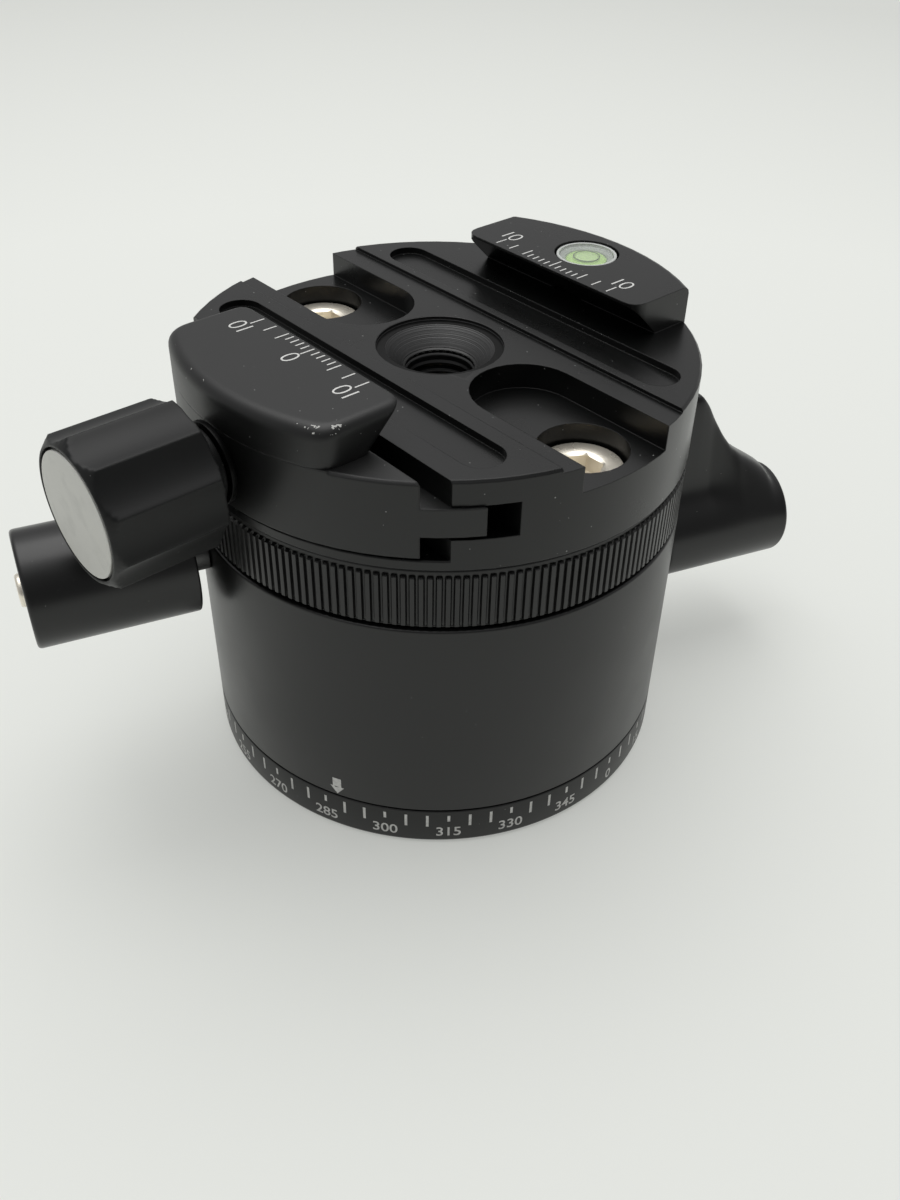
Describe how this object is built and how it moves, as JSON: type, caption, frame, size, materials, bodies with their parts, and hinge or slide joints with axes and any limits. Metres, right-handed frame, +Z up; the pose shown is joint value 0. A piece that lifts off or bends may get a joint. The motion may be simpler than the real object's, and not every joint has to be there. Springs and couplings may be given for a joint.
{
  "type": "panoramic rotator",
  "caption": "Click-stop panning base with a dial, knurled selector ring, index plunger, lock lever and a screw-driven dovetail clamp with a bubble level.",
  "frame": {"origin": "on the pan axis, in the plane of the base's bottom face", "axes": "+Z up along the pan axis; the clamp channel runs along Y; the fixed jaw is at +X and the movable jaw with its knob at -X"},
  "size_m": [0.1077, 0.064, 0.0612],
  "materials": {
    "black_anodised": "satin black anodised",
    "pale_aluminium": "fine matte",
    "steel": "bright nickel",
    "brass": "turned",
    "white_plastic": "translucent white",
    "green_fluid": "clear green",
    "clear_lens": "clear"
  },
  "bodies": {
    "base": {"base_plate": "black_anodised", "dial_ring": "black_anodised", "center_post": "black_anodised", "tripod_bush": "steel", "reducer_bush": "steel", "post_screw_1": "steel", "post_screw_2": "steel", "post_screw_3": "steel", "bearing_spacer": "steel", "bearing_inner_race": "steel", "bearing_cage": "brass", "post_nut": "steel", "drum_key": "steel"},
    "rotor": {"housing": "black_anodised", "bearing_outer_race": "steel", "clamp_body": "black_anodised", "clamp_screw_near": "steel", "clamp_screw_far": "steel", "plunger_sleeve": "steel", "plunger_cap": "steel", "plunger_spring": "steel", "lock_bush": "brass", "vial_cup": "white_plastic", "vial_fluid": "green_fluid", "vial_lens": "clear_lens", "jaw_spring_near": "steel", "jaw_spring_far": "steel"},
    "drum": {"index_drum": "steel", "drum_clip": "steel"},
    "collar": {"shift_collar": "brass", "shift_peg_1": "steel", "shift_peg_2": "steel"},
    "ring": {"selector_ring": "black_anodised"},
    "plunger": {"plunger_pin": "steel", "plunger_knob": "black_anodised", "plunger_screw": "steel"},
    "lever": {"lock_lever": "black_anodised", "lever_screw": "steel", "lock_screw": "steel"},
    "shoe": {"lock_shoe": "brass"},
    "jaw": {"movable_jaw": "black_anodised"},
    "clamp_knob": {"clamp_knob": "black_anodised", "knob_disc": "pale_aluminium", "clamp_spindle": "steel", "thrust_washer": "steel"}
  },
  "joints": [
    {"name": "pan", "type": "hinge", "parent": "base", "child": "rotor", "pos_m": [0, 0, 0.0245], "axis": [0, 0, 1], "continuous": true},
    {"name": "drum_shift", "type": "slide", "parent": "base", "child": "drum", "axis": [0, 0, -1], "range_m": [0, 0.0036]},
    {"name": "collar_shift", "type": "slide", "parent": "rotor", "child": "collar", "axis": [0, 0, -1], "range_m": [0, 0.0036]},
    {"name": "selector_turn", "type": "hinge", "parent": "rotor", "child": "ring", "pos_m": [0, 0, 0.041], "axis": [0, 0, 1], "range_deg": [0, 60]},
    {"name": "plunger_pull", "type": "slide", "parent": "rotor", "child": "plunger", "axis": [-0.9527, 0.304, 0], "range_m": [0, 0.003], "stiffness_N_per_m": 600, "springref_m": -0.004, "deforming": ["plunger_spring"]},
    {"name": "shoe_press", "type": "slide", "parent": "rotor", "child": "shoe", "axis": [-0.9478, 0.319, 0], "range_m": [-0.0001666, 0.0001666]},
    {"name": "lock_turn", "type": "hinge", "parent": "rotor", "child": "lever", "pos_m": [0, 0, 0.01885], "axis": [0.9478, -0.319, 0], "range_deg": [-60, 60]},
    {"name": "jaw_slide", "type": "slide", "parent": "rotor", "child": "jaw", "axis": [1, 0, 0], "range_m": [-0.002, 0.0025], "deforming": ["jaw_spring_near", "jaw_spring_far"]},
    {"name": "clamp_turn", "type": "hinge", "parent": "jaw", "child": "clamp_knob", "pos_m": [0, 0, 0.0521], "axis": [-1, 0, 0], "range_deg": [-900, 720]}
  ],
  "couplings": [
    {"joint": "collar_shift", "follows": "drum_shift", "ratio": 1},
    {"joint": "selector_turn", "follows": "drum_shift", "rad_per_m": 290.89},
    {"joint": "lock_turn", "follows": "shoe_press", "rad_per_m": -6283.2},
    {"joint": "clamp_turn", "follows": "jaw_slide", "rad_per_m": -6283.2}
  ]
}
